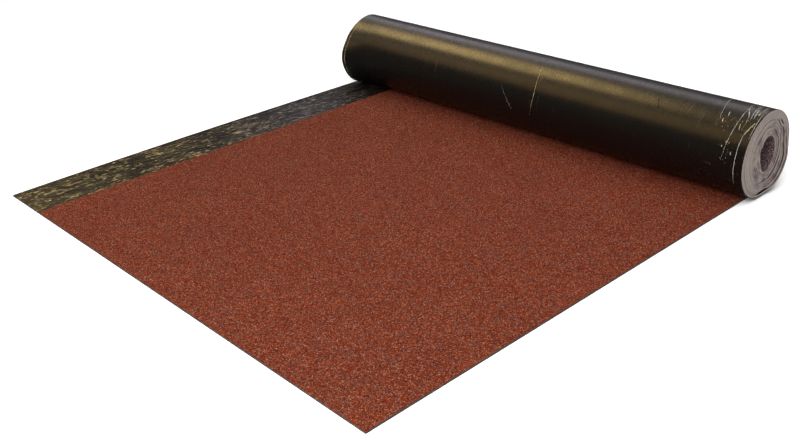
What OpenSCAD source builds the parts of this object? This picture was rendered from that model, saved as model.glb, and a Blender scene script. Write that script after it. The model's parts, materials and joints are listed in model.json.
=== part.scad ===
// A part-unrolled roll of mineral-faced bitumen roofing felt.
// The felt is one strip: a flat run on the floor, and the rest wound into a roll at its far end.
// The roll's axis runs along X, and the flat run leaves it towards -Y.
// The origin is on the floor, under the middle of the whole object.

/* [Felt] */
// Width of the felt
felt_w = 1000; // [800:5:1200]
// Thickness of the felt where it carries granules
felt_t = 3.6; // [3:0.1:5]
// Width of the bare lap along the left edge, which takes the next sheet's overlap
lap_w = 110; // [60:5:150]
// Thickness of the granule layer, which the lap lacks
granule_t = 0.8; // [0.5:0.1:1.2]
// Length that lies unrolled, from the cut end to the line under the roll's axis
flat_run = 880; // [400:10:1500]

/* [Roll] */
// Diameter of the open bore
bore_d = 54; // [40:1:100]
// Number of turns on the roll
turns = 12; // [6:1:20]
// Gap between one turn and the next
turn_gap = 0.7; // [0.3:0.1:1.2]
// How far the outermost turn has walked sideways off the flat run
walk = 15; // [5:1:25]

/* [Roll ends] */
// How far the innermost turn stands out past the outermost one
core_out = 2.5; // [0:0.1:5]
// How far one turn's edge may stand out from its neighbours'
edge_step = 1.2; // [0.2:0.1:2]
// Depth to which the gaps are open at the ends
gap_depth = 6; // [4:0.5:10]

/* [Hidden] */
$fn = 180;

FELT_BLACK = "#1d1a17";
// Successive turns' edges stand out by shares of edge_step that this angle spreads
SPREAD_ANGLE = 137.5;
// The flat run stops this far short of the roll's lowest line, inside the roll's skin
tuck = 6;

pitch = felt_t + turn_gap;
bore_r = bore_d / 2;
roll_r = bore_r + turns * pitch - turn_gap;

// How far turn n's right edge stands out past the outermost turn's, where turn 1 is the innermost
function edge_out(n) = core_out * (turns - n) / (turns - 1)
    + edge_step * (1 - cos(SPREAD_ANGLE * (turns - n))) / 2;

// The middle of the box that the whole object fills, seen from the roll's lowest line
roll_end = felt_w / 2 + walk + max([for (n = [1 : turns]) edge_out(n)]);
mid = [(roll_end - felt_w / 2) / 2, (roll_r - flat_run) / 2];

// Turn n's edge and the gap outside it, as points [radius, distance along the axis],
// at the right end (side = 1) or at the left end (side = -1)
function turn_edge(n, side) = let (
    inner = bore_r + (n - 1) * pitch,
    outer = inner + felt_t,
    edge = side * felt_w / 2 + edge_out(n),
    bottom = side * (felt_w / 2 - gap_depth)
) n == turns
    ? [[inner, edge], [outer, edge]]
    : [[inner, edge], [outer, edge], [outer, bottom], [inner + pitch, bottom]];

function reversed(points) = [for (i = [len(points) - 1 : -1 : 0]) points[i]];

// The wound part: a turned solid with an open bore, whose turns show on its ends
module wound_roll() {
    right_end = [for (n = [1 : turns]) each turn_edge(n, 1)];
    left_end = [for (n = [1 : turns]) each turn_edge(n, -1)];
    translate([walk, 0, roll_r])
        rotate([90, 0, 90])
            rotate_extrude()
                polygon(concat(right_end, reversed(left_end)));
}

// The unrolled part: the felt's own cross-section, with the lap lower than the granules
module unrolled_run() {
    lap_edge = -felt_w / 2 + lap_w;
    section = [
        [-felt_w / 2, 0],
        [felt_w / 2, 0],
        [felt_w / 2, felt_t],
        [lap_edge, felt_t],
        [lap_edge, felt_t - granule_t],
        [-felt_w / 2, felt_t - granule_t]
    ];
    translate([0, -tuck, 0])
        rotate([90, 0, 0])
            linear_extrude(flat_run - tuck)
                polygon(section);
}

// The whole strip of felt, in one piece
module felt_roll() {
    color(FELT_BLACK)
        translate([-mid.x, -mid.y, 0])
            union() {
                wound_roll();
                unrolled_run();
            }
}

felt_roll();
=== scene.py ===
"""A part-unrolled roll of mineral-faced roofing felt.

The felt is one strip. A place along it is a station: below 0 it counts metres of flat run back from the
roll's foot, where the felt leaves the floor, and above 0 it counts turns of the roll from the outside in.
A place through its thickness is a depth, in metres from the film side, which is the outside of the roll.
A band is a pair of numbers that a smooth step runs between, from 0 at the first to 1 at the second.
"""

import json
import logging
import math
from dataclasses import dataclass, field, fields, replace
from enum import Enum
from typing import Any, Callable, Optional, Sequence, Union

import bpy
import numpy as np
from mathutils import Matrix, Vector


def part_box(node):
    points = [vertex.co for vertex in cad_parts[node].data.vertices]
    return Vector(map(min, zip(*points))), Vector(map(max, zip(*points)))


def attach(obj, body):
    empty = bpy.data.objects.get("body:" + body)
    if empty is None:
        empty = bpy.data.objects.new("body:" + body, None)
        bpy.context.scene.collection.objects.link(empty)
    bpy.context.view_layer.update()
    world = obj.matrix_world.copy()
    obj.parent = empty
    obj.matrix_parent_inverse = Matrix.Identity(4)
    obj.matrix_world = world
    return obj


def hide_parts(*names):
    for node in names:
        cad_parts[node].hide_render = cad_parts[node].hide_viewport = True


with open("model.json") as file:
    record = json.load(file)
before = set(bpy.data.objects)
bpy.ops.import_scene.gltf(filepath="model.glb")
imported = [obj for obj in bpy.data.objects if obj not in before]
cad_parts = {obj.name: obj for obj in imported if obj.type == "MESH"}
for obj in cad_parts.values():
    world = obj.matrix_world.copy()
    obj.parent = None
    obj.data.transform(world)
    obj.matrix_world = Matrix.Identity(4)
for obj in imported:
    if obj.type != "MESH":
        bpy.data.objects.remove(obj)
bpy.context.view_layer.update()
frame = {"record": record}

LOG = logging.getLogger("roofing_felt")
NODE = "felt_roll"
BODY = "root"
TAU = math.tau
MM = 0.001

Number = Union["Value", float]
Colour = tuple[float, float, float]
Band = tuple[float, float]


# ---------------------------------------------------------------- node trees


class Value:
    """A node socket that holds a number, on which Python's arithmetic adds Math nodes."""

    def __init__(self, graph: "Graph", socket: bpy.types.NodeSocket) -> None:
        """Wraps a socket.

        Args:
            graph: The tree that the socket belongs to.
            socket: An output socket.
        """
        self.graph = graph
        self.socket = socket

    def __add__(self, other: Number) -> "Value":
        """Returns self + other."""
        return self.graph.math("ADD", self, other)

    def __sub__(self, other: Number) -> "Value":
        """Returns self - other."""
        return self.graph.math("SUBTRACT", self, other)

    def __rsub__(self, other: Number) -> "Value":
        """Returns other - self."""
        return self.graph.math("SUBTRACT", other, self)

    def __mul__(self, other: Number) -> "Value":
        """Returns self * other."""
        return self.graph.math("MULTIPLY", self, other)

    def __truediv__(self, other: Number) -> "Value":
        """Returns self / other."""
        return self.graph.math("DIVIDE", self, other)

    def __rtruediv__(self, other: Number) -> "Value":
        """Returns other / self."""
        return self.graph.math("DIVIDE", other, self)

    def __gt__(self, other: Number) -> "Value":
        """Returns 1 where self is more than other, and 0 elsewhere."""
        return self.graph.math("GREATER_THAN", self, other)

    def __lt__(self, other: Number) -> "Value":
        """Returns 1 where self is less than other, and 0 elsewhere."""
        return self.graph.math("LESS_THAN", self, other)

    __radd__ = __add__
    __rmul__ = __mul__


class Graph:
    """A node tree that is built by calls."""

    def __init__(self, tree: bpy.types.NodeTree) -> None:
        """Wraps a tree.

        Args:
            tree: A shader or geometry node tree.
        """
        self.tree = tree

    def node(
        self,
        kind: str,
        settings: Optional[dict[str, Any]] = None,
        inputs: Optional[dict[Union[str, int], Any]] = None,
    ) -> bpy.types.Node:
        """Adds one node.

        Args:
            kind: The node's type.
            settings: Its own settings, set before its sockets; stops gives a colour ramp's stops.
            inputs: A value, socket or Value for each named or numbered input.

        Returns:
            The node.
        """
        made = self.tree.nodes.new(kind)
        for name, setting in (settings or {}).items():
            if name == "stops":
                self._set_stops(made.color_ramp, setting)
            else:
                setattr(made, name, setting)
        for key, source in (inputs or {}).items():
            self.plug(source, made.inputs[key])
        return made

    def plug(self, source: Any, socket: bpy.types.NodeSocket) -> None:
        """Links a Value or a socket to an input, or sets the input's value.

        Args:
            source: What goes into the input.
            socket: The input.
        """
        if isinstance(source, Value):
            source = source.socket
        if isinstance(source, bpy.types.NodeSocket):
            self.tree.links.new(source, socket)
        elif isinstance(source, tuple) and socket.type == "RGBA":
            socket.default_value = (*source, 1.0)
        else:
            socket.default_value = source

    def math(self, operation: str, *operands: Number) -> Value:
        """Adds a Math node.

        Args:
            operation: The node's operation.
            operands: Its inputs, in order.

        Returns:
            The result.
        """
        made = self.node("ShaderNodeMath", {"operation": operation}, dict(enumerate(operands)))
        return Value(self, made.outputs[0])

    def value(self, kind: str, settings: dict[str, Any], inputs: dict[Union[str, int], Any],
              output: Union[str, int] = 0) -> Value:
        """Adds one node and returns one of its outputs as a Value."""
        return Value(self, self.node(kind, settings, inputs).outputs[output])

    def smooth(self, source: Number, low: float, high: float) -> Value:
        """Returns a smooth step of source, from 0 at low to 1 at high, or down to 0 if low is above high."""
        settings = {"interpolation_type": "SMOOTHSTEP"}
        limits = {"Value": source, "From Min": min(low, high), "From Max": max(low, high)}
        step = self.value("ShaderNodeMapRange", settings, limits)
        return step if low < high else 1.0 - step

    def noise(self, place: Any, scale: float, detail: float = 2.0, **more: float) -> Value:
        """Returns fractal noise, from 0 to 1, at a place.

        Args:
            place: A vector socket.
            scale: Blobs per metre, about.
            detail: Octaves of finer noise.
            more: Other inputs of the Noise Texture node.

        Returns:
            The noise.
        """
        inputs = {"Vector": place, "Scale": scale, "Detail": detail}
        inputs.update({name.title(): amount for name, amount in more.items()})
        return self.value("ShaderNodeTexNoise", {}, inputs)

    @staticmethod
    def _set_stops(ramp: bpy.types.ColorRamp, stops: Sequence[tuple[float, Colour]]) -> None:
        """Gives a colour ramp its stops, as (position, colour) pairs."""
        while len(ramp.elements) < len(stops):
            ramp.elements.new(1.0)
        for element, (position, colour) in zip(ramp.elements, stops):
            element.position = position
            element.color = (*colour, 1.0)


class Recipe(Graph):
    """A Geometry Nodes tree whose sizes are named inputs."""

    def __init__(self, name: str) -> None:
        """Starts an empty tree.

        Args:
            name: The tree's name.
        """
        super().__init__(bpy.data.node_groups.new(name, "GeometryNodeTree"))
        self.entry = self.tree.nodes.new("NodeGroupInput")
        self.tree.interface.new_socket("Geometry", in_out="OUTPUT", socket_type="NodeSocketGeometry")

    def _input(self, name: str, kind: str) -> bpy.types.NodeSocket:
        """Adds a named input of the tree and returns it as a source."""
        self.tree.interface.new_socket(name, in_out="INPUT", socket_type=kind)
        return self.entry.outputs[name]

    def size(self, name: str) -> Value:
        """Adds a named number."""
        return Value(self, self._input(name, "NodeSocketFloat"))

    def count(self, name: str) -> bpy.types.NodeSocket:
        """Adds a named whole number."""
        return self._input(name, "NodeSocketInt")

    def material(self, name: str) -> bpy.types.NodeSocket:
        """Adds a named material."""
        return self._input(name, "NodeSocketMaterial")

    def surface(self, name: str) -> bpy.types.NodeSocket:
        """Adds a named object to work on and returns its geometry."""
        chosen = self._input(name, "NodeSocketObject")
        return self.node("GeometryNodeObjectInfo", {}, {"Object": chosen}).outputs["Geometry"]

    def vector(self, x: Number, y: Number, z: Number) -> bpy.types.NodeSocket:
        """Joins three numbers into a vector."""
        return self.node("ShaderNodeCombineXYZ", {}, {0: x, 1: y, 2: z}).outputs[0]

    def split(self, vector: bpy.types.NodeSocket) -> tuple[Value, Value, Value]:
        """Splits a vector into three numbers."""
        made = self.node("ShaderNodeSeparateXYZ", {}, {0: vector})
        return tuple(Value(self, socket) for socket in made.outputs)

    def store(self, geometry: Any, name: str, source: Any, domain: str = "POINT") -> bpy.types.NodeSocket:
        """Keeps a number on the geometry under a name, and returns the geometry."""
        settings = {"data_type": "FLOAT", "domain": domain}
        inputs = {"Geometry": geometry, "Name": name, "Value": source}
        return self.node("GeometryNodeStoreNamedAttribute", settings, inputs).outputs[0]

    def named(self, name: str) -> Value:
        """Reads a number that store kept."""
        return self.value("GeometryNodeInputNamedAttribute", {"data_type": "FLOAT"}, {"Name": name})

    def move(self, geometry: Any, position: Any) -> bpy.types.NodeSocket:
        """Puts every point at a position, and returns the geometry."""
        inputs = {"Geometry": geometry, "Position": position}
        return self.node("GeometryNodeSetPosition", {}, inputs).outputs[0]

    def paint(self, geometry: Any, material: Any, where: Any = True) -> bpy.types.NodeSocket:
        """Gives faces a material, and returns the geometry."""
        inputs = {"Geometry": geometry, "Selection": where, "Material": material}
        return self.node("GeometryNodeSetMaterial", {}, inputs).outputs[0]

    def serve(self, geometry: Any) -> None:
        """Ends the tree: the geometry is realized and goes out."""
        realized = self.node("GeometryNodeRealizeInstances", {}, {"Geometry": geometry}).outputs[0]
        self.node("NodeGroupOutput", {}, {"Geometry": realized})

    def make(self, name: str, **inputs: Any) -> bpy.types.Object:
        """Runs the tree and returns the result as a plain mesh object.

        Args:
            name: The new object's name.
            inputs: A value for each of the tree's inputs, by its name with _ for a space.

        Returns:
            The object, at the origin.
        """
        host = bpy.data.objects.new(name + "_host", bpy.data.meshes.new(name + "_host"))
        bpy.context.scene.collection.objects.link(host)
        modifier = host.modifiers.new("recipe", "NODES")
        modifier.node_group = self.tree
        for item in self.tree.interface.items_tree:
            key = item.name.lower().replace(" ", "_")
            if item.in_out == "INPUT" and key in inputs:
                modifier[item.identifier] = inputs.pop(key)
        if inputs:
            raise KeyError(f"{self.tree.name} has no inputs named {sorted(inputs)}")
        bpy.context.view_layer.update()
        evaluated = host.evaluated_get(bpy.context.evaluated_depsgraph_get())
        mesh = bpy.data.meshes.new_from_object(evaluated)
        mesh.name = name
        bpy.data.objects.remove(host)
        made = bpy.data.objects.new(name, mesh)
        bpy.context.scene.collection.objects.link(made)
        return made


# ------------------------------------------------------------------- finishes


@dataclass(frozen=True)
class Pattern:
    """Fractal noise. Scale is in blobs per metre, and a squeeze below 1 draws the blobs out on that axis."""

    scale: float
    detail: float = 2.0
    squeeze: tuple[float, float, float] = (1.0, 1.0, 1.0)
    distortion: float = 0.0


class Finish:
    """A procedural material. Subclasses are dataclasses that hold its sizes and colours."""

    name: str

    def build(self) -> bpy.types.Material:
        """Returns the material."""
        material = bpy.data.materials.new(self.name)
        material.use_nodes = True
        material.node_tree.nodes.clear()
        graph = Graph(material.node_tree)
        place = graph.node("ShaderNodeTexCoord").outputs["Object"]
        shader = graph.node("ShaderNodeBsdfPrincipled")
        self.dress(graph, place, shader)
        output = graph.node("ShaderNodeOutputMaterial")
        graph.plug(shader.outputs[0], output.inputs["Surface"])
        return material

    def dress(self, graph: Graph, place: bpy.types.NodeSocket, shader: bpy.types.Node) -> None:
        """Feeds the shader.

        Args:
            graph: The material's tree.
            place: The point's place on the object, in metres.
            shader: The Principled shader.
        """
        raise NotImplementedError

    @staticmethod
    def noise(graph: Graph, place: Any, pattern: Pattern) -> Value:
        """Returns a pattern's noise, from 0 to 1, at a place."""
        if pattern.squeeze != Pattern.squeeze:
            settings = {"vector_type": "POINT"}
            inputs = {"Vector": place, "Scale": pattern.squeeze}
            place = graph.node("ShaderNodeMapping", settings, inputs).outputs[0]
        return graph.noise(place, pattern.scale, pattern.detail, distortion=pattern.distortion)

    @staticmethod
    def carried(graph: Graph, name: str) -> Value:
        """Reads a number that the mesh carries."""
        return graph.value("ShaderNodeAttribute", {"attribute_name": name}, {}, "Fac")

    @staticmethod
    def mix(graph: Graph, amount: Number, first: Any, second: Any) -> bpy.types.NodeSocket:
        """Mixes two colours."""
        settings = {"data_type": "RGBA"}
        made = graph.node("ShaderNodeMix", settings, {0: amount, 6: first, 7: second})
        return made.outputs[2]

    @staticmethod
    def shade(graph: Graph, colour: Any, amount: Number) -> bpy.types.NodeSocket:
        """Scales a colour's brightness."""
        inputs = {0: colour, "Scale": amount}
        return graph.node("ShaderNodeVectorMath", {"operation": "SCALE"}, inputs).outputs[0]

    @staticmethod
    def bump(graph: Graph, shader: bpy.types.Node, height: Value, strength: float = 1.0) -> None:
        """Feeds the shader's normal from a height in metres."""
        inputs = {"Height": height, "Strength": strength, "Distance": 1.0}
        graph.plug(graph.node("ShaderNodeBump", {}, inputs).outputs[0], shader.inputs["Normal"])


@dataclass(frozen=True)
class GranuleFinish(Finish):
    """Crushed mineral granules of several colours, pressed close together into the bitumen."""

    name: str = "mineral_granules"
    grain: float = 1.35 * MM
    relief: float = 0.28 * MM
    relief_strength: float = 0.7
    roughness: float = 0.9
    roughness_spread: float = 0.1
    sheen: float = 0.05
    brightness: float = 0.74
    least_light: float = 0.85
    drift_light: float = 0.20
    clump_light: float = 0.20
    stops: tuple[tuple[float, Colour], ...] = (
        (0.00, (0.022, 0.008, 0.008)),
        (0.14, (0.060, 0.016, 0.013)),
        (0.28, (0.088, 0.010, 0.002)),
        (0.55, (0.148, 0.016, 0.002)),
        (0.80, (0.215, 0.034, 0.008)),
        (0.92, (0.260, 0.085, 0.040)),
        (1.00, (0.320, 0.180, 0.125)),
    )
    drift: Pattern = Pattern(7.0, 3.0)
    clumps: Pattern = Pattern(240.0)
    patches: Pattern = Pattern(55.0)
    powder: Pattern = Pattern(420.0)
    clump: Colour = (0.100, 0.044, 0.034)
    clump_band: Band = (0.50, 0.72)
    clump_cover: float = 0.55
    patchiness: float = 0.5
    dust: Colour = (0.300, 0.170, 0.140)
    dust_band: Band = (0.42, 0.72)
    dust_cover: float = 0.12
    # Painted shade in the crevices between granules: the band over the distance from a granule's middle, and
    # the brightness left at its rim.
    pit_band: Band = (0.75, 0.35)
    pit_light: float = 0.55
    # Painted shade on the turns hidden inside the roll: how much it darkens them, and the stations over which
    # it fades out.
    gloom: float = 0.0
    hidden_turns: Band = (10.3, 9.8)

    def dress(self, graph: Graph, place: bpy.types.NodeSocket, shader: bpy.types.Node) -> None:
        """Colours each granule by chance, rounds it, and paints shade into the crevices between granules and
        onto the granules between turns.
        """
        cells = graph.node("ShaderNodeTexVoronoi", {}, {"Vector": place, "Scale": 1.0 / self.grain})
        chance = graph.value("ShaderNodeSeparateColor", {}, {0: cells.outputs["Color"]})
        colour = graph.node("ShaderNodeValToRGB", {"stops": self.stops}, {0: chance}).outputs[0]
        middle = Value(graph, cells.outputs["Distance"])
        drift = self.noise(graph, place, self.drift)
        clumps = self.noise(graph, place, self.clumps)
        patches = self.noise(graph, place, self.patches)
        powder = self.noise(graph, place, self.powder)
        grey = graph.smooth(clumps + (patches - 0.5) * self.patchiness, *self.clump_band)
        colour = self.mix(graph, grey * self.clump_cover, colour, self.clump)
        colour = self.mix(graph, graph.smooth(powder, *self.dust_band) * self.dust_cover, colour, self.dust)
        # Painted shade: each granule darkens towards its rim, as if shaded in the crevice beside the next
        # granule.
        lit_middles = graph.smooth(middle, *self.pit_band)
        light = (self.pit_light + lit_middles * (1.0 - self.pit_light)) * self.brightness
        light = light * (self.least_light + drift * self.drift_light + clumps * self.clump_light)
        # Painted shade: granules on the turns hidden between other turns are darkened.
        hidden = graph.smooth(self.carried(graph, "station"), *self.hidden_turns)
        light = light * (1.0 - self.gloom * hidden)
        graph.plug(self.shade(graph, colour, light), shader.inputs["Base Color"])
        graph.plug(self.roughness + self.roughness_spread * (chance - 0.5), shader.inputs["Roughness"])
        shader.inputs["Specular IOR Level"].default_value = self.sheen
        self.bump(graph, shader, (1.0 - middle * middle) * self.relief, self.relief_strength)


@dataclass(frozen=True)
class LooseGranuleFinish(Finish):
    """The same stone, on granules that stand up singly and each carry the number of their colour."""

    name: str = "loose_granules"
    roughness: float = 0.85
    brightness: float = 0.60
    speckle: Pattern = Pattern(2500.0)
    speckle_spread: float = 0.5

    def dress(self, graph: Graph, place: bpy.types.NodeSocket, shader: bpy.types.Node) -> None:
        """Colours each granule from the number that it carries."""
        grain = self.carried(graph, "grain")
        colour = graph.node("ShaderNodeValToRGB", {"stops": GranuleFinish.stops}, {0: grain}).outputs[0]
        speckle = self.noise(graph, place, self.speckle) - 0.5
        light = (1.0 + speckle * self.speckle_spread) * self.brightness
        graph.plug(self.shade(graph, colour, light), shader.inputs["Base Color"])
        shader.inputs["Roughness"].default_value = self.roughness
        shader.inputs["Specular IOR Level"].default_value = GranuleFinish.sheen


@dataclass(frozen=True)
class FilmFinish(Finish):
    """Black bitumen under a thin burn-off film, with creases that run round the roll."""

    name: str = "burn_off_film"
    colour: Colour = (0.0030, 0.0027, 0.0027)
    tint: Colour = (1.0, 0.80, 0.46)
    reflectance: float = 0.30
    roughness: float = 0.30
    mottle: Pattern = Pattern(38.0, 4.0)
    mottle_roughness: float = 0.16
    mottle_relief: float = 0.08 * MM
    broad: Pattern = Pattern(9.0)
    broad_roughness: float = 0.12
    speckle: Pattern = Pattern(330.0, 2.0, (1.0, 0.5, 0.5))
    speckle_roughness: float = 0.26
    speckle_relief: float = 0.14 * MM
    rings: Pattern = Pattern(340.0, 2.0, (1.0, 0.045, 0.045))
    fine_rings: Pattern = Pattern(520.0, 2.0, (1.0, 0.045, 0.045))
    fine_relief: float = 0.12 * MM
    ring_band: Band = (0.66, 0.74)
    creased_places: Pattern = Pattern(21.0, 1.0)
    creased_band: Band = (0.50, 0.66)
    crease_colour: Colour = (0.060, 0.048, 0.026)
    crease_cover: float = 0.55
    crease_relief: float = 0.10 * MM
    scuffs: Pattern = Pattern(420.0, 2.0, (1.0, 0.35, 0.35))
    scuff_band: Band = (0.66, 0.71)
    scuffed_places: Band = (0.47, 0.58)
    scuffed_ends: Band = (0.415, 0.465)
    # The scuffs' golden colour is partly wear and partly a painted glint of the warm light.
    scuff_colour: Colour = (0.42, 0.35, 0.21)
    scuff_cover: float = 0.7
    scuff_relief: float = 0.15 * MM
    relief_strength: float = 0.8

    def dress(self, graph: Graph, place: bpy.types.NodeSocket, shader: bpy.types.Node) -> None:
        """Dulls and creases the film, and scuffs it towards the right end, the scuffs painted golden as
        glints of light as well as wear.
        """
        mottle = self.noise(graph, place, self.mottle)
        broad = self.noise(graph, place, self.broad)
        speckle = self.noise(graph, place, self.speckle)
        fine = self.noise(graph, place, self.fine_rings)
        crease = graph.smooth(self.noise(graph, place, self.rings), *self.ring_band)
        crease = crease * graph.smooth(self.noise(graph, place, self.creased_places), *self.creased_band)
        across = graph.value("ShaderNodeSeparateXYZ", {}, {0: place})
        scuff = graph.smooth(self.noise(graph, place, self.scuffs), *self.scuff_band)
        scuff = scuff * graph.smooth(across, *self.scuffed_ends) * graph.smooth(mottle, *self.scuffed_places)
        base = self.mix(graph, crease * self.crease_cover, self.colour, self.crease_colour)
        # Scuff marks: wear, painted golden as glints of light.
        base = self.mix(graph, scuff * self.scuff_cover, base, self.scuff_colour)
        graph.plug(base, shader.inputs["Base Color"])
        rough = (self.roughness + (mottle - 0.5) * self.mottle_roughness
                 + (broad - 0.5) * self.broad_roughness + (speckle - 0.5) * self.speckle_roughness)
        graph.plug(rough, shader.inputs["Roughness"])
        shader.inputs["Specular Tint"].default_value = (*self.tint, 1.0)
        shader.inputs["Specular IOR Level"].default_value = self.reflectance
        height = (crease * self.crease_relief + fine * self.fine_relief + mottle * self.mottle_relief
                  + speckle * self.speckle_relief + scuff * self.scuff_relief)
        self.bump(graph, shader, height, self.relief_strength)


@dataclass(frozen=True)
class CreaseFinish(Finish):
    """The ridge of a fold in the film: pale where it has stretched white, golden where a painted highlight
    stands for the warm light that it catches, or dark by its colour.
    """

    name: str = "stretched_film"
    colour: Colour = (0.40, 0.37, 0.34)
    roughness: float = 0.4
    sheen: float = 0.5
    wear: Pattern = Pattern(120.0)
    wear_band: Band = (0.30, 0.60)
    dimmest: float = 0.35

    def dress(self, graph: Graph, place: bpy.types.NodeSocket, shader: bpy.types.Node) -> None:
        """Varies the colour's brightness along the ridge."""
        wear = graph.smooth(self.noise(graph, place, self.wear), *self.wear_band)
        light = self.dimmest + wear * (1.0 - self.dimmest)
        graph.plug(self.shade(graph, self.colour, light), shader.inputs["Base Color"])
        shader.inputs["Roughness"].default_value = self.roughness
        shader.inputs["Specular IOR Level"].default_value = self.sheen


@dataclass(frozen=True)
class LapFinish(Finish):
    """The bare lap: bitumen under a glossy film that has crinkled nearly lengthwise."""

    name: str = "crinkled_lap_film"
    dark: Colour = (0.0030, 0.0022, 0.0015)
    # Painted sheen streaks: brown near the flat end, grey towards the roll.
    brown: Colour = (0.020, 0.013, 0.006)
    grey: Colour = (0.030, 0.023, 0.021)
    # Painted highlights: glint is the golden glint colour near the flat end, pale the greyer glint colour
    # towards the roll.
    glint: Colour = (0.50, 0.37, 0.16)
    pale: Colour = (0.30, 0.25, 0.23)
    tint: Colour = (1.0, 0.88, 0.70)
    reflectance: float = 0.08
    roughness: float = 0.30
    skew: float = math.radians(9.5)
    patches: Pattern = Pattern(26.0, 2.0, (1.0, 0.4, 1.0))
    patch_roughness: float = 0.3
    streaks: Pattern = Pattern(230.0, 3.0, (1.0, 0.10, 1.0), 0.6)
    streak_band: Band = (0.46, 0.58)
    streak_relief: float = 1.5 * MM
    streaked_places: Band = (0.34, 0.66)
    least_shine: float = 0.60
    veins: Pattern = Pattern(95.0, 2.0, (1.0, 0.20, 1.0), 1.0)
    vein_band: Band = (0.017, 0.003)
    vein_cover: float = 0.60
    vein_relief: float = 0.5 * MM
    veined_places: Band = (0.38, 0.60)
    least_vein: float = 0.35
    cracks: Pattern = Pattern(130.0, 2.0, (1.0, 0.10, 1.0), 0.8)
    crack_band: Band = (0.54, 0.59)
    crack_relief: float = 1.0 * MM
    # Painted glints: small specks of light.
    flecks: Pattern = Pattern(230.0, 1.0, (1.0, 0.28, 1.0))
    fleck_band: Band = (0.65, 0.70)
    fleck_cover: float = 0.50
    # Painted reflection: the band along the lap over which the reflected colour turns from warm to grey.
    greyer: Band = (-0.20, 0.20)
    # Painted shade by the roll, where the lap darkens; and the left rim, which is darker too.
    shaded: Band = (0.20, 0.36)
    rim: Band = (-0.4960, -0.5000)
    dull_cover: float = 0.8
    dull_roughness: float = 0.35

    def dress(self, graph: Graph, place: bpy.types.NodeSocket, shader: bpy.types.Node) -> None:
        """Streaks and cracks the film and paints reflections in: sheen streaks, glint lines and flecks, warm
        near the flat end and greyer towards the roll; paints shade by the roll and darkens the left rim.
        """
        turned = graph.node("ShaderNodeVectorRotate", {"rotation_type": "Z_AXIS"},
                            {"Vector": place, "Angle": self.skew}).outputs[0]
        patches = self.noise(graph, turned, self.patches)
        streaks = self.noise(graph, turned, self.streaks)
        veins = self.noise(graph, turned, self.veins)
        # Painted sheen: brown or grey streaks of reflected light on the dark film.
        shine = graph.smooth(patches, *self.streaked_places) * (1.0 - self.least_shine) + self.least_shine
        shine = shine * graph.smooth(streaks, *self.streak_band)
        vein = graph.smooth(patches, *self.veined_places) * (1.0 - self.least_vein) + self.least_vein
        vein = vein * graph.smooth(graph.math("ABSOLUTE", veins - 0.5), *self.vein_band)
        crack = graph.smooth(self.noise(graph, turned, self.cracks), *self.crack_band)
        glint_fleck = graph.smooth(self.noise(graph, turned, self.flecks), *self.fleck_band)
        # Painted highlights: glints along the crinkle lines and in small specks.
        spark = graph.math("MAXIMUM", vein * self.vein_cover, glint_fleck * self.fleck_cover)
        # Painted reflection: warm towards the flat end, cooler and greyer towards the roll.
        along = graph.value("ShaderNodeSeparateXYZ", {}, {0: place}, "Y")
        cool_reflection = graph.smooth(along, *self.greyer)
        # Painted shade: the lap is darkened towards the roll; it is also darker along its left rim.
        rim = graph.smooth(self.carried(graph, "across"), *self.rim)
        roll_shade_and_dark_rim = graph.math("MAXIMUM", graph.smooth(along, *self.shaded), rim)
        base = self.mix(graph, shine, self.dark, self.mix(graph, cool_reflection, self.brown, self.grey))
        base = self.mix(graph, crack, base, self.dark)
        base = self.mix(graph, spark, base, self.mix(graph, cool_reflection, self.glint, self.pale))
        base = self.mix(graph, roll_shade_and_dark_rim * self.dull_cover, base, self.dark)
        graph.plug(base, shader.inputs["Base Color"])
        rough = self.roughness + (patches - 0.5) * self.patch_roughness + roll_shade_and_dark_rim * self.dull_roughness
        graph.plug(rough, shader.inputs["Roughness"])
        shader.inputs["Specular Tint"].default_value = (*self.tint, 1.0)
        shader.inputs["Specular IOR Level"].default_value = self.reflectance
        height = streaks * self.streak_relief + vein * self.vein_relief - crack * self.crack_relief
        self.bump(graph, shader, height)


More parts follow.
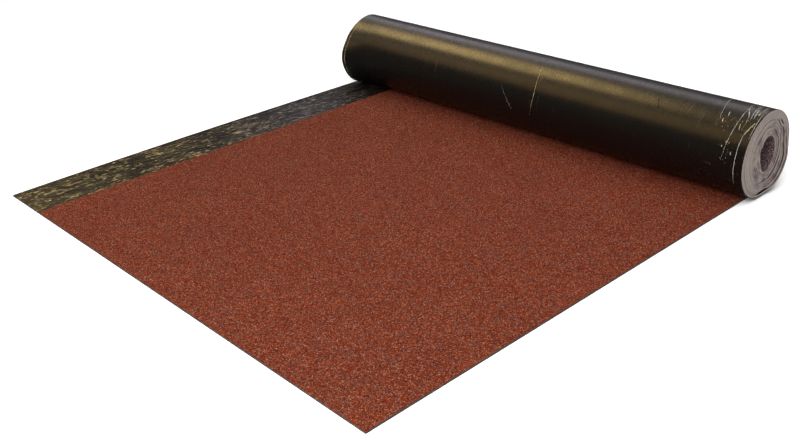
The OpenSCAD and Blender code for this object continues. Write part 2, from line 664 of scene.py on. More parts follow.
@dataclass(frozen=True)
class EdgeFinish(Finish):
    """A cut edge: film and bitumen in section, under mineral dust; palest on the outer turns and darker
    towards the axis.
    """

    name: str = "dusty_cut_edge"
    pale: Colour = (0.238, 0.202, 0.186)
    dust: Colour = (0.285, 0.232, 0.206)
    # The darker colour of the ends nearer the axis.
    grime: Colour = (0.105, 0.086, 0.088)
    bitumen: Colour = (0.016, 0.013, 0.012)
    roughness: float = 0.92
    sheen: float = 0.15
    streaks: Pattern = Pattern(1.0, 2.0, distortion=0.5)
    streaks_through: float = 900.0
    streaks_along: float = 14.0
    streak_share: float = 0.6
    streak_relief: float = 0.4 * MM
    clouds: Pattern = Pattern(70.0, 3.0)
    specks: Pattern = Pattern(1100.0)
    speck_spread: float = 0.36
    speck_relief: float = 0.25 * MM
    jags: Pattern = Pattern(420.0)
    jag_spread: float = 1.2
    worn_band: Band = (0.38, 0.60)
    dusted: float = 1.0
    dusted_band: Band = (0.7, 1.3)
    film_depth: float = 0.06 * MM
    rim_depth: float = 0.75 * MM
    rim_turns: float = 1.05
    least: float = 0.0
    least_band: Band = (0.4980, 0.4990)
    centre: tuple[float, float] = (0.4150, 0.0739)
    radius: float = 58 * MM
    radius_blur: float = 4 * MM
    radius_wander: float = 10 * MM
    relief_strength: float = 0.7

    def dress(self, graph: Graph, place: bpy.types.NodeSocket, shader: bpy.types.Node) -> None:
        """Lays dust over the bitumen in streaks that follow the turns, and bares the outermost film."""
        depth, station, across = (self.carried(graph, name) for name in ("depth", "station", "across"))
        along = graph.node("ShaderNodeCombineXYZ", {}, {
            0: depth * self.streaks_through, 1: station * self.streaks_along}).outputs[0]
        streaks = self.noise(graph, along, self.streaks)
        clouds = self.noise(graph, place, self.clouds)
        specks = self.noise(graph, place, self.specks)
        jags = self.noise(graph, place, self.jags)
        out = self._out(graph, place) + (clouds - 0.5) * self.radius_wander
        worn = streaks * self.streak_share + clouds * (1.0 - self.streak_share)
        worn = graph.smooth(worn, *self.worn_band)
        # Darker towards the axis, paler on the outer turns.
        inner = self.mix(graph, worn, self.grime, self.dust)
        outer = self.mix(graph, worn * 0.5 + 0.5, self.dust, self.pale)
        outside = graph.smooth(out, self.radius - self.radius_blur, self.radius + self.radius_blur)
        light = 1.0 + (specks - 0.5) * self.speck_spread
        body = self.shade(graph, self.mix(graph, outside, inner, outer), light)
        jagged = 1.0 + (jags - 0.5) * self.jag_spread
        bare = self.rim_depth * (station < self.rim_turns) * jagged + self.film_depth
        least = graph.smooth(across, *self.least_band) * self.least
        cover = graph.math("MAXIMUM", graph.smooth(depth / bare, *self.dusted_band) * self.dusted, least)
        graph.plug(self.mix(graph, cover, self.bitumen, body), shader.inputs["Base Color"])
        shader.inputs["Roughness"].default_value = self.roughness
        shader.inputs["Specular IOR Level"].default_value = self.sheen
        height = specks * self.speck_relief + streaks * self.streak_relief
        self.bump(graph, shader, height, self.relief_strength)

    def _out(self, graph: Graph, place: bpy.types.NodeSocket) -> Value:
        """Returns the distance from the roll's axis, in metres."""
        level = graph.node("ShaderNodeVectorMath", {"operation": "MULTIPLY"}, {0: place, 1: (0.0, 1.0, 1.0)})
        inputs = {0: level.outputs[0], 1: (0.0, *self.centre)}
        return graph.value("ShaderNodeVectorMath", {"operation": "DISTANCE"}, inputs, "Value")


@dataclass(frozen=True)
class FloorFinish(Finish):
    """A plain pale floor."""

    name: str = "studio_floor"
    colour: Colour = (0.86, 0.86, 0.86)
    roughness: float = 0.9
    sheen: float = 0.1

    def dress(self, graph: Graph, place: bpy.types.NodeSocket, shader: bpy.types.Node) -> None:
        """Sets one matt colour."""
        shader.inputs["Base Color"].default_value = (*self.colour, 1.0)
        shader.inputs["Roughness"].default_value = self.roughness
        shader.inputs["Specular IOR Level"].default_value = self.sheen


class Tone(Enum):
    """How a crease in the film looks."""

    PALE = "pale"
    # A golden crease is a painted highlight: the warm light that the ridge catches.
    GOLD = "gold"
    DARK = "dark"


class Palette:
    """Every finish, built once."""

    def __init__(self) -> None:
        """Builds the materials."""
        self.granules = GranuleFinish().build()
        # The granule side inside the roll, seen in the bore: a greyer, darker copy of the granules, partly
        # dust and partly painted shade of the bore, with deeper painted shade on the hidden turns.
        self.bore_granules = GranuleFinish(name="dusty_granules", brightness=0.72, gloom=0.85, stops=(
            (0.00, (0.024, 0.016, 0.020)),
            (0.30, (0.085, 0.052, 0.062)),
            (0.60, (0.140, 0.086, 0.096)),
            (0.85, (0.220, 0.140, 0.145)),
            (1.00, (0.360, 0.280, 0.275)),
        )).build()
        self.loose = LooseGranuleFinish().build()
        self.film = FilmFinish().build()
        self.crease = {
            Tone.PALE: CreaseFinish().build(),
            # Golden creases: a painted highlight of warm light on the ridge.
            Tone.GOLD: CreaseFinish(name="golden_film", colour=(0.50, 0.38, 0.17)).build(),
            Tone.DARK: CreaseFinish(name="folded_film", colour=(0.004, 0.003, 0.003), sheen=0.0).build(),
        }
        self.lap = LapFinish().build()
        self.edge = EdgeFinish().build()
        self.dark_edge = EdgeFinish(name="clean_cut_edge", dusted=0.18).build()
        self.dusty_film = EdgeFinish(name="dusty_film", least=0.8).build()
        self.floor = FloorFinish().build()


# ----------------------------------------------------------------- the shape


@dataclass(frozen=True)
class Arc:
    """A stretch of the way round the roll, in degrees: its middle, and how far it reaches on each side."""

    phase: float
    reach: float


@dataclass(frozen=True)
class Opening(Arc):
    """A place where one turn stands away from the next, counted in turns from the outside."""

    turn: float
    size: float


@dataclass(frozen=True)
class RollShape:
    """How the strip runs: straight along the floor, then round and round. Sizes in metres, phases in degrees.

    A phase is counted from the roll's foot, through its back (90) and its top (180) to its front (270).
    Every size that is a single number is an input of the trees that follow the strip.
    """

    roll_radius: float
    foot: float
    middle: float
    turns: float = 12.0
    walk: float = 15 * MM
    walk_turns: float = 0.30
    core_out: float = 2.5 * MM
    edge_step: float = 0.6 * MM
    bore_half_width: float = 23.5 * MM
    bore_half_height: float = 32.5 * MM
    bore_back: float = 2.5 * MM
    bore_lift: float = 4.0 * MM
    spread: float = 1.5 * MM
    bulge: float = 2.3 * MM
    flare: float = 9.0 * MM
    droop: float = 2.0 * MM
    shove: float = 5.0 * MM
    splay: float = 3.5 * MM
    thickness: float = 3.6 * MM
    fill: float = 0.985
    spread_arcs: tuple[Arc, Arc] = (Arc(58, 50), Arc(302, 50))
    bulge_arc: Arc = Arc(150, 60)
    flare_arc: Arc = Arc(296, 58)
    droop_arc: Arc = Arc(205, 34)
    shove_arc: Arc = Arc(52, 46)
    shoved_turns: Band = (7.0, 2.0)
    flared_turns: Band = (1.45, 1.0)
    left_edge: Band = (-0.42, -0.50)
    sways: tuple[tuple[float, float], ...] = ((2.4, 0.0), (5.3, 1.0))
    openings: tuple[Opening, ...] = (
        Opening(phase=137, turn=2.9, reach=11, size=3.2 * MM),
        Opening(phase=4, turn=1.55, reach=17, size=3.8 * MM),
        Opening(phase=7, turn=2.55, reach=12, size=2.8 * MM),
    )

    def sizes(self) -> dict[str, float]:
        """Returns the sizes that a tree takes as inputs, by their names there."""
        return {entry.name: getattr(self, entry.name) for entry in fields(self) if entry.type is float}

    def declare(self, recipe: Recipe) -> dict[str, Value]:
        """Adds an input to a tree for each size, and returns them."""
        return {name: recipe.size(name.replace("_", " ").capitalize()) for name in self.sizes()}

    @staticmethod
    def _hump(recipe: Recipe, angle: Value, arc: Arc) -> Value:
        """Returns 1 at an arc's middle, falling smoothly to 0 at its two ends."""
        edge = math.cos(math.radians(arc.reach))
        near = recipe.math("COSINE", angle - math.radians(arc.phase))
        return recipe.smooth(near, edge, 1.0)

    def place(self, recipe: Recipe, size: dict[str, Value], station: Value, across: Value,
              depth: Number) -> bpy.types.NodeSocket:
        """Works out where a point of the strip lies.

        Args:
            recipe: The tree.
            size: The inputs that declare returned.
            station: The place along the strip.
            across: The place across it, from the felt's middle, in metres.
            depth: The place through it, from the film side, in metres.

        Returns:
            The position.
        """
        turn = recipe.math("MAXIMUM", station, 0.0)
        run = recipe.math("MINIMUM", station, 0.0)
        angle = turn * TAU
        sine = recipe.math("SINE", angle)
        cosine = recipe.math("COSINE", angle)
        back, front = (self._hump(recipe, angle, arc) for arc in self.spread_arcs)
        arcs = self.bulge_arc, self.flare_arc, self.droop_arc, self.shove_arc
        bulge, flare, droop, shove = (self._hump(recipe, angle, arc) for arc in arcs)
        outer = size["roll_radius"] + size["bulge"] * bulge + size["spread"] * (back + front)
        wide = sine / size["bore_half_width"]
        tall = cosine / size["bore_half_height"]
        bore = (recipe.math("INVERSE_SQRT", wide * wide + tall * tall)
                + size["bore_back"] * sine - size["bore_lift"] * cosine)
        wound = turn - sine / TAU
        pitch = (outer - bore) / size["turns"]
        loose = recipe.smooth(across, *self.left_edge)
        flare = flare * recipe.smooth(wound, *self.flared_turns)
        radius = outer - pitch * wound + loose * (size["flare"] * flare - size["droop"] * droop)
        for opening in self.openings:
            left = (size["turns"] - wound) / (size["turns"] - opening.turn)
            here = self._hump(recipe, angle, opening) * (wound > opening.turn)
            radius = radius - here * left * opening.size
        slow, quick = (recipe.math("SINE", turn * rate + start) for rate, start in self.sways)
        leave = recipe.smooth(turn / size["walk_turns"], 0.0, 1.0)
        side = (leave * (size["walk"] + size["edge_step"] * (slow + quick) - size["splay"] * loose)
                + size["core_out"] * wound / size["turns"]
                + size["shove"] * shove * recipe.smooth(wound, *self.shoved_turns))
        swollen = 1.0 + size["fill"] * leave * (pitch / size["thickness"] - 1.0)
        reach = radius - depth * swollen
        return recipe.vector(size["middle"] + across + side, size["foot"] + run + reach * sine,
                             size["roll_radius"] - reach * cosine)


class Side(Enum):
    """A side of a length of felt, by the number that its faces carry."""

    FILM = 0
    FACE = 1
    LEFT = 2
    RIGHT = 3
    CUT = 4


@dataclass(frozen=True)
class Unevenness:
    """Noise on the strip: blobs per metre or turn, octaves, and its share of the size that it varies."""

    scale: float
    detail: float
    share: float


@dataclass(frozen=True)
class Length:
    """One length of the strip, or of one layer of it. Low and high are its depths."""

    name: str
    start: float
    end: float
    left: float
    right: float
    low: float
    high: float
    rows: int
    columns: int
    ripple: float = 0.0
    ragged: float = 0.0
    bow: float = 0.0


class StripRecipe:
    """The tree that makes any length of the strip."""

    border_waves: Unevenness = Unevenness(26.0, 1.0, 2.4)
    border_nicks: Unevenness = Unevenness(170.0, 2.0, 1.6)
    broad_ripple: Unevenness = Unevenness(9.0, 2.0, 1.6)
    puckers: Unevenness = Unevenness(75.0, 2.0, 0.7)
    sharp_from: float = math.radians(45)

    def __init__(self, shape: RollShape) -> None:
        """Builds the tree.

        Args:
            shape: How the strip runs.
        """
        self.shape = shape
        self.recipe = recipe = Recipe("felt strip")
        start, end = recipe.size("Start"), recipe.size("End")
        left, right = recipe.size("Left"), recipe.size("Right")
        low, high = recipe.size("Low"), recipe.size("High")
        ripple, ragged, bow = recipe.size("Ripple"), recipe.size("Ragged"), recipe.size("Bow")
        rows, columns = recipe.count("Rows"), recipe.count("Columns")
        paints = {side: recipe.material(f"{side.name.capitalize()} material") for side in Side}
        size = shape.declare(recipe)
        inputs = {"Size": (1.0, 1.0, 1.0), "Vertices X": columns, "Vertices Y": rows, "Vertices Z": 2}
        block = recipe.node("GeometryNodeMeshCube", {}, inputs).outputs["Mesh"]
        nx, ny, nz = recipe.split(recipe.node("GeometryNodeInputNormal").outputs["Normal"])
        side = ((nz > 0.5) * Side.FACE.value + (nx < -0.5) * Side.LEFT.value
                + (nx > 0.5) * Side.RIGHT.value + (ny * ny > 0.25) * Side.CUT.value)
        block = recipe.store(block, "side", side, "FACE")
        px, py, pz = recipe.split(recipe.node("GeometryNodeInputPosition").outputs[0])
        along = start + (end - start) * (py + 0.5)
        block = recipe.store(block, "station", along)
        along = recipe.named("station")
        waves = self._uneven(self.border_waves, recipe.vector(along, 0.0, 0.0))
        nicks = self._uneven(self.border_nicks, recipe.vector(along, 7.0, 0.0))
        arch = recipe.math("SINE", (along - start) / (end - start) * math.pi)
        border = left + ragged * (waves + nicks) - bow * arch
        block = recipe.store(block, "across", border + (right - border) * (px + 0.5))
        across = recipe.named("across")
        block = recipe.store(block, "depth", low + (high - low) * (pz + 0.5))
        depth = recipe.named("depth")
        swell = self._uneven(self.broad_ripple, recipe.vector(across * 0.6, along, 0.0))
        puckers = self._uneven(self.puckers, recipe.vector(across, along * 0.08, 3.0))
        lift = ripple * (swell + puckers)
        block = recipe.move(block, shape.place(recipe, size, along, across, depth + lift))
        for which, paint in paints.items():
            number = recipe.named("side") - float(which.value)
            block = recipe.paint(block, paint, (number * number < 0.25).socket)
        recipe.serve(block)

    def _uneven(self, kind: Unevenness, place: bpy.types.NodeSocket) -> Value:
        """Returns noise at a place that goes both ways from 0."""
        return (self.recipe.noise(place, kind.scale, kind.detail) - 0.5) * kind.share

    def make(self, length: Length, paints: dict[Side, bpy.types.Material]) -> bpy.types.Object:
        """Makes one length of the strip.

        Args:
            length: Where it starts and ends, and how finely it is cut.
            paints: The material of each side.

        Returns:
            The piece.
        """
        inputs = {f"{side.name.lower()}_material": paint for side, paint in paints.items()}
        for name in ("start", "end", "left", "right", "low", "high", "rows", "columns", "ripple", "ragged",
                     "bow"):
            inputs[name] = getattr(length, name)
        piece = self.recipe.make(length.name, **inputs, **self.shape.sizes())
        piece.data.shade_smooth()
        piece.data.set_sharp_from_angle(angle=self.sharp_from)
        return piece


def read_attribute(mesh: bpy.types.Mesh, name: str) -> np.ndarray:
    """Returns a mesh's named numbers as an array."""
    layer = mesh.attributes[name]
    numbers = np.zeros(len(layer.data), np.float32)
    layer.data.foreach_get("value", numbers)
    return numbers


@dataclass(frozen=True)
class Panel:
    """The part of a piece's map that one of its sides fills, as its corner and its size."""

    u: float
    v: float
    width: float
    height: float


class Mapping:
    """Lays a length of felt out flat on its map, with most of the room for the sides that show."""

    def __init__(self, piece: bpy.types.Object) -> None:
        """Reads the piece.

        Args:
            piece: A length of felt, as StripRecipe makes it.
        """
        mesh = piece.data
        self.mesh = mesh
        corners = np.zeros(len(mesh.loops), np.int64)
        mesh.loops.foreach_get("vertex_index", corners)
        sizes = np.zeros(len(mesh.polygons), np.int64)
        mesh.polygons.foreach_get("loop_total", sizes)
        points = np.zeros(len(mesh.vertices) * 3, np.float32)
        mesh.vertices.foreach_get("co", points)
        self.points = points.reshape(-1, 3)[corners]
        self.side = np.repeat(np.rint(read_attribute(mesh, "side")).astype(int), sizes)
        self.station = read_attribute(mesh, "station")[corners]
        self.across = read_attribute(mesh, "across")[corners]
        self.depth = read_attribute(mesh, "depth")[corners]
        self.uv = np.zeros((len(corners), 2), np.float32)

    @staticmethod
    def _share(numbers: np.ndarray) -> np.ndarray:
        """Scales numbers to run from 0 to 1."""
        low, high = numbers.min(), numbers.max()
        return (numbers - low) / max(high - low, 1e-9)

    def lay(self, side: Side, panel: Panel, first: np.ndarray, second: np.ndarray) -> None:
        """Puts one side on a panel, by two numbers for each corner."""
        chosen = self.side == side.value
        if not chosen.any():
            return
        self.uv[chosen, 0] = panel.u + panel.width * self._share(first[chosen])
        self.uv[chosen, 1] = panel.v + panel.height * self._share(second[chosen])

    def lay_rims(self, first: Panel, pitch: float) -> None:
        """Puts the left rim on a panel, and the right rim on a like panel, pitch above it."""
        for number, side in enumerate((Side.LEFT, Side.RIGHT)):
            self.lay(side, replace(first, v=first.v + pitch * number), self.station, self.depth)

    def write(self) -> None:
        """Stores the map on the mesh."""
        layer = self.mesh.uv_layers.new(name="OFBake")
        layer.data.foreach_set("uv", self.uv.ravel())


# ---------------------------------------------------------------- the object


@dataclass
class Felt:
    """The whole strip: the flat run, the outermost turn and the turns inside it."""

    shape: RollShape
    palette: Palette
    width: float
    flat_run: float
    granule_layer: float = 0.8 * MM
    lap: float = 110 * MM
    bow: float = 6.5 * MM
    last_turn: float = 11.62
    pieces: list[bpy.types.Object] = field(default_factory=list)

    @property
    def sheet_top(self) -> float:
        """The depth at which the bitumen ends and the granules start."""
        return self.shape.thickness - self.granule_layer

    def build(self) -> list[bpy.types.Object]:
        """Makes every length of the strip and returns the pieces."""
        strip = StripRecipe(self.shape)
        for length, paints, slot, lay_out in self._lengths():
            piece = strip.make(length, paints)
            lay_out(Mapping(piece))
            self._attach(piece, slot)
        return self.pieces

    def _lengths(self) -> list[tuple[Length, dict[Side, bpy.types.Material], str, Callable[[Mapping], None]]]:
        """Returns each length with its paints, its slot and the way that it is laid out on its map."""
        paint = self.palette
        half = self.width / 2
        lap_edge = self.lap - half
        dark = {Side.LEFT: paint.dark_edge, Side.RIGHT: paint.dark_edge, Side.CUT: paint.dark_edge}
        dusty = {Side.LEFT: paint.dark_edge, Side.RIGHT: paint.edge, Side.CUT: paint.edge}
        sheet = {Side.FILM: paint.film, Side.FACE: paint.lap}
        stones = {Side.FILM: paint.granules, Side.FACE: paint.granules}
        rough = {Side.LEFT: paint.granules, Side.RIGHT: paint.granules, Side.CUT: paint.granules}
        bottom, top, whole = 0.0, self.sheet_top, self.shape.thickness
        return [
            (Length("flat_sheet", -self.flat_run, 0.0, -half, half, bottom, top, 90, 100, bow=self.bow),
             sheet | dark, "lap_strip", self._map_flat_sheet),
            (Length("flat_granules", -self.flat_run, 0.0, lap_edge, half, top, whole, 400, 60,
                    ragged=1.6 * MM),
             stones | rough, "granule_face", self._map_flat_granules),
            (Length("outer_turn", 0.0, 1.0, -half, half, bottom, top, 150, 170, ripple=0.35 * MM),
             sheet | dusty, "film_underside", self._map_outer_turn),
            (Length("inner_turns", 1.0, self.last_turn, -half, half, bottom, top, 1100, 3),
             sheet | dusty | {Side.FILM: paint.dusty_film}, "cut_edge", self._map_inner_turns),
            (Length("wound_granules", 0.0, self.last_turn, lap_edge, half, top, whole, 1200, 3),
             # The inner face carries the granules with painted bore shade.
             {Side.FILM: paint.granules, Side.FACE: paint.bore_granules, Side.LEFT: paint.granules,
              Side.RIGHT: paint.edge, Side.CUT: paint.edge},
             "granule_face", self._map_inner_turns),
        ]

    def _attach(self, piece: bpy.types.Object, slot: str) -> None:
        """Makes a piece ride on the body and stand for the CAD solid."""
        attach(piece, BODY)
        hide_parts(NODE)
        self.pieces.append(piece)
        LOG.info("%s: %d faces, slot %s", piece.name, len(piece.data.polygons), slot)

    def _map_flat_sheet(self, chart: Mapping) -> None:
        """Gives the lap most of the map, because granules hide the rest of that side."""
        bare = self.lap + 10 * MM - self.width / 2
        lap_share = np.clip((chart.across + self.width / 2) / (bare + self.width / 2), 0.0, 1.0)
        rest = np.clip((chart.across - bare) / (self.width / 2 - bare), 0.0, 1.0)
        chart.lay(Side.FACE, Panel(0.01, 0.01, 0.98, 0.60), chart.station, lap_share * 0.9 + rest * 0.1)
        chart.lay(Side.FILM, Panel(0.01, 0.63, 0.98, 0.25), chart.station, chart.across)
        chart.lay_rims(Panel(0.01, 0.90, 0.98, 0.02), 0.03)
        chart.lay(Side.CUT, Panel(0.01, 0.96, 0.98, 0.02), chart.across, chart.depth)
        chart.write()

    def _map_flat_granules(self, chart: Mapping) -> None:
        """Gives the granule face nearly the whole map."""
        chart.lay(Side.FACE, Panel(0.005, 0.005, 0.99, 0.93), chart.station, chart.across)
        chart.lay(Side.FILM, Panel(0.005, 0.945, 0.99, 0.01), chart.station, chart.across)
        chart.lay_rims(Panel(0.005, 0.96, 0.99, 0.008), 0.012)
        chart.lay(Side.CUT, Panel(0.005, 0.985, 0.99, 0.008), chart.across, chart.depth)
        chart.write()

    def _map_outer_turn(self, chart: Mapping) -> None:
        """Gives the film side most of the map."""
        chart.lay(Side.FILM, Panel(0.01, 0.01, 0.98, 0.84), chart.across, chart.station)
        chart.lay(Side.FACE, Panel(0.01, 0.87, 0.98, 0.03), chart.across, chart.station)
        chart.lay_rims(Panel(0.01, 0.91, 0.98, 0.02), 0.03)
        chart.lay(Side.CUT, Panel(0.01, 0.97, 0.98, 0.02), chart.across, chart.depth)
        chart.write()

    def _map_inner_turns(self, chart: Mapping) -> None:
        """Gives the two ends most of the map, each as it is seen along the axis."""
        y, z = chart.points[:, 1], chart.points[:, 2]
        chart.lay(Side.RIGHT, Panel(0.01, 0.01, 0.48, 0.48), y, z)
        chart.lay(Side.LEFT, Panel(0.51, 0.01, 0.48, 0.48), y, z)
        innermost = self.last_turn - 1.0
        hidden = np.clip((chart.station - chart.station.min()) / (innermost - chart.station.min()), 0, 1)
        seen = np.clip((chart.station - innermost) / (self.last_turn - innermost), 0, 1)
        chart.lay(Side.FACE, Panel(0.01, 0.51, 0.98, 0.34), chart.across, hidden * 0.12 + seen * 0.88)
        chart.lay(Side.FILM, Panel(0.01, 0.87, 0.98, 0.09), chart.across, chart.station)
        chart.lay(Side.CUT, Panel(0.01, 0.975, 0.98, 0.015), chart.across, chart.depth)
        chart.write()


@dataclass(frozen=True)
class Crease:
    """A fold in the film that runs round the roll. Phases in degrees, the rest in metres."""

    inset: float
    first: float
    last: float
    drift: float
    arch: float
    width: float
    tone: Tone = Tone.PALE


@dataclass
class FilmCreases:
    """The raised folds in the film near the roll's right end."""

    shape: RollShape
    palette: Palette
    half_width: float
    creases: tuple[Crease, ...] = (
        # Creases whose tone is gold carry a painted highlight.
        Crease(82 * MM, 158, 214, 16 * MM, 0.0, 1.0 * MM),
        Crease(38 * MM, 150, 268, -2 * MM, 5.5 * MM, 1.1 * MM),
        Crease(13 * MM, 219, 297, -2 * MM, -1 * MM, 1.2 * MM),
        Crease(24 * MM, 165, 207, 7 * MM, 0.0, 1.2 * MM),
        Crease(6 * MM, 207, 229, -7 * MM, 0.0, 2.2 * MM, Tone.GOLD),
        Crease(6 * MM, 172, 232, 4 * MM, 0.0, 1.0 * MM),
        Crease(30 * MM, 189, 201, 7 * MM, 0.0, 2.0 * MM),
        Crease(16 * MM, 184, 203, 3 * MM, 0.0, 1.6 * MM),
        Crease(23 * MM, 199, 213, 3 * MM, 0.0, 1.2 * MM),
        Crease(20 * MM, 170, 199, 5 * MM, 0.0, 1.4 * MM),
        Crease(12 * MM, 166, 196, 3 * MM, 1 * MM, 1.2 * MM),
        Crease(34 * MM, 181, 195, 6 * MM, 0.0, 1.5 * MM),
        Crease(57 * MM, 200, 207, 2 * MM, 0.0, 1.8 * MM),
        Crease(60 * MM, 212, 219, 2 * MM, 0.0, 1.8 * MM, Tone.GOLD),
        Crease(28 * MM, 214, 224, 3 * MM, 0.0, 1.2 * MM, Tone.GOLD),
        Crease(455 * MM, 200, 282, 7 * MM, 8 * MM, 0.8 * MM, Tone.GOLD),
        Crease(526 * MM, 247, 280, 32 * MM, 0.0, 0.4 * MM),
        Crease(193 * MM, 201, 223, 15 * MM, 0.0, 1.3 * MM, Tone.DARK),
        Crease(990 * MM, 212, 302, 0.0, -1 * MM, 1.0 * MM, Tone.GOLD),
    )

    def _recipe(self) -> Recipe:
        """Builds the tree that makes one crease."""
        recipe = Recipe("film crease")
        inset, drift, arch = recipe.size("Inset"), recipe.size("Drift"), recipe.size("Arch")
        width = recipe.size("Width")
        first, last, half = recipe.size("First"), recipe.size("Last"), recipe.size("Half width")
        paint = recipe.material("Paint")
        size = self.shape.declare(recipe)
        line = recipe.node("GeometryNodeCurvePrimitiveLine").outputs[0]
        line = recipe.node("GeometryNodeResampleCurve", {}, {"Curve": line, "Count": 90}).outputs[0]
        share = recipe.value("GeometryNodeSplineParameter", {}, {}, "Factor")
        station = (first + (last - first) * share) / 360.0
        waver = recipe.noise(recipe.vector(station * 9.0, inset * 60.0, 0.0), 1.0, 3.0) - 0.5
        middle = recipe.math("SINE", share * math.pi)
        across = half - inset + drift * share + arch * middle + waver * (3.0 * MM)
        line = recipe.move(line, self.shape.place(recipe, size, station, across, 0.0))
        swell = recipe.noise(recipe.vector(station * 50.0, inset * 90.0, 5.0), 1.0, 1.0)
        radius = recipe.math("SQRT", middle) * (0.35 + swell)
        line = recipe.node("GeometryNodeSetCurveRadius", {}, {"Curve": line, "Radius": radius}).outputs[0]
        ring = recipe.node("GeometryNodeCurvePrimitiveCircle", {}, {"Resolution": 6, "Radius": width * 0.4})
        tube = recipe.node("GeometryNodeCurveToMesh", {}, {
            "Curve": line, "Profile Curve": ring.outputs[0], "Scale": radius, "Fill Caps": True}).outputs[0]
        recipe.serve(recipe.paint(tube, paint))
        return recipe

    def build(self) -> bpy.types.Object:
        """Makes every crease, joined into one piece."""
        recipe = self._recipe()
        made = []
        for number, crease in enumerate(self.creases):
            made.append(recipe.make(
                f"crease_{number}", inset=crease.inset, drift=crease.drift, arch=crease.arch,
                width=crease.width, first=crease.first, last=crease.last, half_width=self.half_width,
                paint=self.palette.crease[crease.tone], **self.shape.sizes()))
        with bpy.context.temp_override(active_object=made[0], selected_editable_objects=made):
            bpy.ops.object.join()
        piece = made[0]
        piece.name = piece.data.name = "film_creases"
        piece.data.shade_smooth()
        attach(piece, BODY)
        LOG.info("%s: %d faces", piece.name, len(piece.data.polygons))
        return piece


@dataclass
class LooseGranules:
    """Granules that stand up singly out of the granule face, or have shed on the lap."""

    palette: Palette
    face: bpy.types.Object
    sheet: bpy.types.Object
    per_square_metre: float = 9500.0
    shed_per_square_metre: float = 900.0
    across: float = 1.25 * MM
    least_shape: tuple[float, float, float] = (0.5, 0.4, 0.35)
    most_shape: tuple[float, float, float] = (1.15, 0.95, 0.7)
    seed: int = 4
    turn_seed: int = 11
    shape_seed: int = 12
    grain_seed: int = 13

    def build(self) -> bpy.types.Object:
        """Scatters the granules and returns them as one piece."""
        recipe = Recipe("loose granules")
        face, sheet = recipe.surface("Face"), recipe.surface("Sheet")
        density, shed = recipe.size("Per square metre"), recipe.size("Shed per square metre")
        across, seed = recipe.size("Across"), recipe.count("Seed")
        paint = recipe.material("Paint")
        on_top = recipe.named("side") - float(Side.FACE.value)
        top = (on_top * on_top < 0.25).socket
        spread = {"distribute_method": "RANDOM"}
        stones = recipe.node("GeometryNodeDistributePointsOnFaces", spread, {
            "Mesh": face, "Selection": top, "Density": density, "Seed": seed}).outputs["Points"]
        strays = recipe.node("GeometryNodeDistributePointsOnFaces", spread, {
            "Mesh": sheet, "Selection": top, "Density": shed, "Seed": seed}).outputs["Points"]
        joined = recipe.node("GeometryNodeJoinGeometry").inputs[0]
        for points in (stones, strays):
            recipe.tree.links.new(points, joined)
        stone = recipe.node("GeometryNodeMeshIcoSphere", {}, {"Radius": across * 0.5, "Subdivisions": 1})
        turn = recipe.node("FunctionNodeRandomValue", {"data_type": "FLOAT_VECTOR"}, {
            "Min": (0.0, 0.0, 0.0), "Max": (TAU, TAU, TAU), "Seed": self.turn_seed}).outputs[0]
        shape = recipe.node("FunctionNodeRandomValue", {"data_type": "FLOAT_VECTOR"}, {
            "Min": self.least_shape, "Max": self.most_shape, "Seed": self.shape_seed}).outputs[0]
        placed = recipe.node("GeometryNodeInstanceOnPoints", {}, {
            "Points": joined.node.outputs[0], "Instance": stone.outputs["Mesh"],
            "Rotation": turn, "Scale": shape}).outputs[0]
        grain = recipe.value("FunctionNodeRandomValue", {"data_type": "FLOAT"}, {"Seed": self.grain_seed}, 1)
        placed = recipe.store(placed, "grain", grain, "INSTANCE")
        recipe.serve(recipe.paint(placed, paint))
        piece = recipe.make("loose_granules", face=self.face, sheet=self.sheet, across=self.across,
                            per_square_metre=self.per_square_metre, seed=self.seed,
                            shed_per_square_metre=self.shed_per_square_metre, paint=self.palette.loose)
        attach(piece, BODY)
        LOG.info("%s: %d faces", piece.name, len(piece.data.polygons))
        return piece


# ------------------------------------------------------------------ the studio


@dataclass(frozen=True)
class StudioCamera:
    """The camera: where it stands, the point on the floor that it looks at, and its lens."""

    position: tuple[float, float, float] = (1.2144, -1.0488, 0.7366)
    target: tuple[float, float, float] = (0.1176, -0.0757, 0.0)
    roll: float = math.radians(-3.088)
    lens: float = 43.93
    sensor: float = 36.0
    nearest: float = 0.02
    farthest: float = 60.0

    def build(self) -> None:
        """Makes the camera and sets it as the scene's."""
        data = bpy.data.cameras.new("camera")
        data.lens = self.lens
        data.sensor_width = self.sensor
        data.clip_start, data.clip_end = self.nearest, self.farthest
        position = Vector(self.position)
        forward = (Vector(self.target) - position).normalized()
        level = forward.cross(Vector((0, 0, 1))).normalized()
        above = level.cross(forward)
        right = level * math.cos(self.roll) + above * math.sin(self.roll)
        up = above * math.cos(self.roll) - level * math.sin(self.roll)
        camera = bpy.data.objects.new("camera", data)
        turned = Matrix((right, up, -forward)).transposed().to_4x4()
        camera.matrix_world = Matrix.Translation(position) @ turned
        bpy.context.scene.collection.objects.link(camera)
        bpy.context.scene.camera = camera


class Role(Enum):
    """What a light does: it fills in the matt surfaces, or it lies as a reflection on the glossy ones."""

    FILL = "fill"
    GLOSS = "gloss"


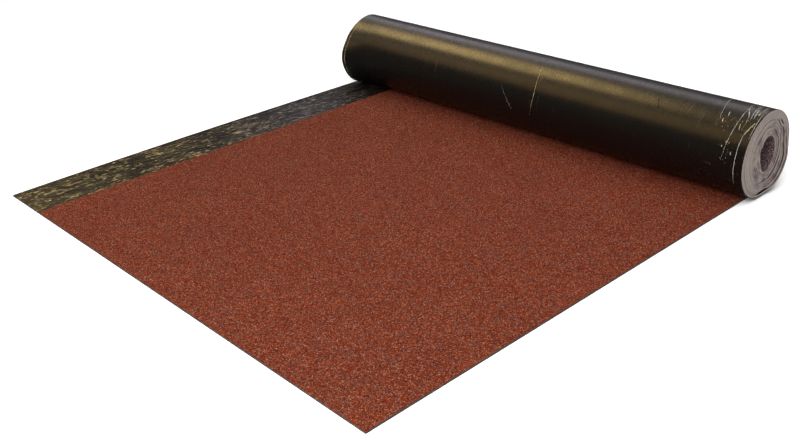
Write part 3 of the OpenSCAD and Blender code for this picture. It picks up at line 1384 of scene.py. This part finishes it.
@dataclass(frozen=True)
class SoftBox:
    """A rectangular soft light."""

    name: str
    position: tuple[float, float, float]
    target: tuple[float, float, float]
    size: tuple[float, float]
    power: float
    colour: Colour = (1.0, 1.0, 1.0)
    role: Role = Role.FILL

    def build(self) -> None:
        """Makes the light. Its long side lies along the roll."""
        data = bpy.data.lights.new(self.name, "AREA")
        data.shape = "RECTANGLE"
        data.size, data.size_y = self.size
        data.energy = self.power
        data.color = self.colour
        lamp = bpy.data.objects.new(self.name, data)
        position = Vector(self.position)
        forward = (Vector(self.target) - position).normalized()
        side = (Vector((1, 0, 0)) - forward * forward.x).normalized()
        turned = Matrix((side, side.cross(forward), -forward)).transposed().to_4x4()
        lamp.matrix_world = Matrix.Translation(position) @ turned
        lamp.visible_glossy = self.role is not Role.FILL
        lamp.visible_diffuse = self.role is not Role.GLOSS
        bpy.context.scene.collection.objects.link(lamp)


@dataclass
class Studio:
    """A pale floor, soft lights, a surround that brightens upwards, and the camera."""

    palette: Palette
    floor_half: float = 9.0
    floor_drop: float = 0.4 * MM
    surround: Colour = (0.95, 0.96, 1.0)
    low_surround: float = 0.13
    high_surround: float = 0.62
    brightening: Band = (0.25, 0.75)
    lights: tuple[SoftBox, ...] = (
        SoftBox("warm_overhead", (-2.15, 0.40, 2.3), (-2.15, 0.4, 0.1), (2.3, 0.95), 58.0, (1.0, 0.78, 0.38),
                Role.GLOSS),
        SoftBox("warm_front", (-1.8, -1.35, 1.9), (-1.8, 0.4, 0.1), (3.4, 1.3), 24.0, (1.0, 0.72, 0.38),
                Role.GLOSS),
        SoftBox("cool_back", (-1.5, 1.95, 1.75), (-1.5, 0.4, 0.1), (3.4, 1.0), 20.0, (0.90, 0.84, 1.0),
                Role.GLOSS),
        SoftBox("overhead_fill", (0.0, -0.1, 3.2), (0.0, -0.1, 0.0), (4.5, 4.5), 130.0, (1.0, 0.97, 0.92)),
        SoftBox("front_fill", (0.9, -1.6, 1.4), (0.2, -0.4, 0.0), (1.4, 1.4), 68.0),
    )

    def build(self) -> None:
        """Makes everything round the object."""
        StudioCamera().build()
        for light in self.lights:
            light.build()
        self._build_surround()
        self._build_floor()
        bpy.context.scene.view_settings.view_transform = "Standard"

    def _build_surround(self) -> None:
        """Makes the light that comes from all round."""
        world = bpy.data.worlds.new("surround")
        world.use_nodes = True
        graph = Graph(world.node_tree)
        direction = graph.node("ShaderNodeTexCoord").outputs["Generated"]
        height = graph.value("ShaderNodeSeparateXYZ", {}, {0: direction}, "Z")
        rise = graph.smooth(height, *self.brightening)
        strength = self.low_surround + rise * (self.high_surround - self.low_surround)
        background = world.node_tree.nodes["Background"]
        background.inputs["Color"].default_value = (*self.surround, 1.0)
        graph.plug(strength, background.inputs["Strength"])
        bpy.context.scene.world = world

    def _build_floor(self) -> None:
        """Makes the floor, just under the felt."""
        mesh = bpy.data.meshes.new("floor")
        signs = ((-1, -1), (1, -1), (1, 1), (-1, 1))
        corners = [(x * self.floor_half, y * self.floor_half, -self.floor_drop) for x, y in signs]
        mesh.from_pydata(corners, [], [(0, 1, 2, 3)])
        mesh.materials.append(self.palette.floor)
        floor = bpy.data.objects.new("floor", mesh)
        floor.visible_glossy = False
        bpy.context.scene.collection.objects.link(floor)


def main() -> None:
    """Builds the studio and the felt."""
    logging.basicConfig(level=logging.INFO, format="%(name)s: %(message)s")
    palette = Palette()
    Studio(palette).build()

    low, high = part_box(NODE)
    bore = next(mount for mount in frame["record"]["mounts"] if mount["name"] == "bore")
    radius = high.z / 2
    foot = high.y - radius
    width = bore["dims"]["length_mm"] * MM
    shape = RollShape(roll_radius=radius, foot=foot, middle=low.x + width / 2)
    felt = Felt(shape, palette, width, foot - low.y)
    pieces = {piece.name: piece for piece in felt.build()}
    FilmCreases(shape, palette, width / 2).build()
    LooseGranules(palette, pieces["flat_granules"], pieces["flat_sheet"]).build()


if __name__ == "__main__":
    main()
